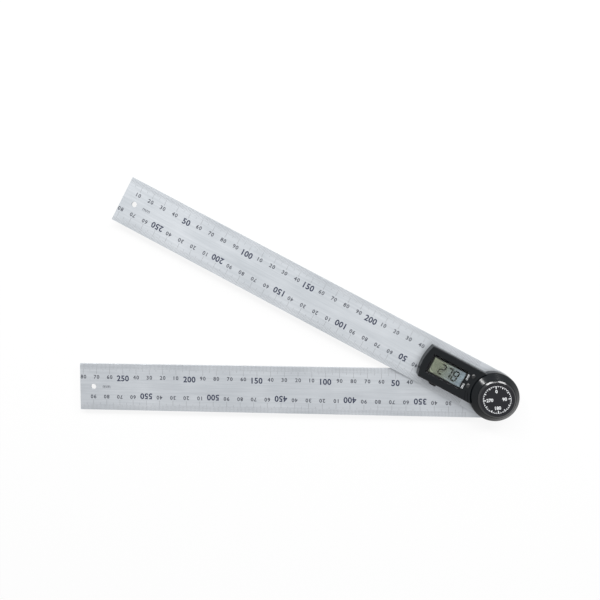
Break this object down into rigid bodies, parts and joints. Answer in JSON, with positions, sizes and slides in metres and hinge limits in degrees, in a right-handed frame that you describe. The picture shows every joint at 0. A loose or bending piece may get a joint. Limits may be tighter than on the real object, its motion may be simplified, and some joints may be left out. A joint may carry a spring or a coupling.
{
  "type": "digital angle finder",
  "caption": "Digital angle finder with steel rule arms that turn on a black hub, and a display housing on the upper arm.",
  "frame": {"origin": "on the pivot axis, at the outer face of the back cover", "axes": "+X is opposite to the lower arm, +Z is the pivot axis, towards the display side"},
  "size_m": [0.3172, 0.1724, 0.0147],
  "materials": {
    "blade_steel": "satin brushed stainless",
    "black_moulding": "fine satin texture",
    "gloss_cap": "gloss",
    "dial_print": "gloss, white print",
    "clear_window": "clear",
    "lcd_glass": "reflective grey green",
    "bezel_black": "matt",
    "button_plastic": "semi gloss",
    "screw_steel": "zinc plated",
    "brass": "turned",
    "spring_steel": "bright",
    "nylon": "natural",
    "circuit_board": "solder resist",
    "contact_gold": "plated",
    "silicone": "matt",
    "chip_black": "moulded",
    "cell_steel": "bright"
  },
  "bodies": {
    "lower_arm": {"lower_blade": "blade_steel", "back_cover": "black_moulding", "back_screws": "screw_steel", "pivot_spindle": "brass", "flange_screws": "screw_steel", "glide_washer": "nylon", "disc_spring": "spring_steel", "ring_nut": "brass", "rotor_disc": "circuit_board", "rotor_screw": "screw_steel"},
    "display_arm": {"upper_blade": "blade_steel", "pivot_bush": "brass", "front_cover": "black_moulding", "cover_screws": "screw_steel", "hub_cap": "gloss_cap", "dial_plate": "dial_print", "display_window": "clear_window", "display_bezel": "bezel_black", "display_panel": "lcd_glass", "zebra_strip": "silicone", "main_board": "circuit_board", "board_screws": "screw_steel", "controller_chip": "chip_black", "quartz_crystal": "spring_steel", "switch_domes": "spring_steel", "negative_contact": "contact_gold", "positive_contact": "contact_gold"},
    "battery_drawer": {"battery_drawer": "black_moulding", "coin_cell": "cell_steel"},
    "on_off_button": {"on_off_button": "button_plastic"},
    "zero_button": {"zero_button": "button_plastic"}
  },
  "joints": [
    {"name": "arm_hinge", "type": "hinge", "parent": "lower_arm", "child": "display_arm", "pos_m": [0, 0, 0.0045], "axis": [0, 0, 1], "continuous": true},
    {"name": "on_off_press", "type": "slide", "parent": "display_arm", "child": "on_off_button", "axis": [0, 0, -1], "range_m": [0, 0.00035], "stiffness_N_per_m": 1200, "springref_m": -0.0003},
    {"name": "zero_press", "type": "slide", "parent": "display_arm", "child": "zero_button", "axis": [0, 0, -1], "range_m": [0, 0.00035], "stiffness_N_per_m": 1200, "springref_m": -0.0003},
    {"name": "battery_slide", "type": "slide", "parent": "display_arm", "child": "battery_drawer", "axis": [-0.4664, -0.8846, 0], "range_m": [0, 0.022]}
  ]
}
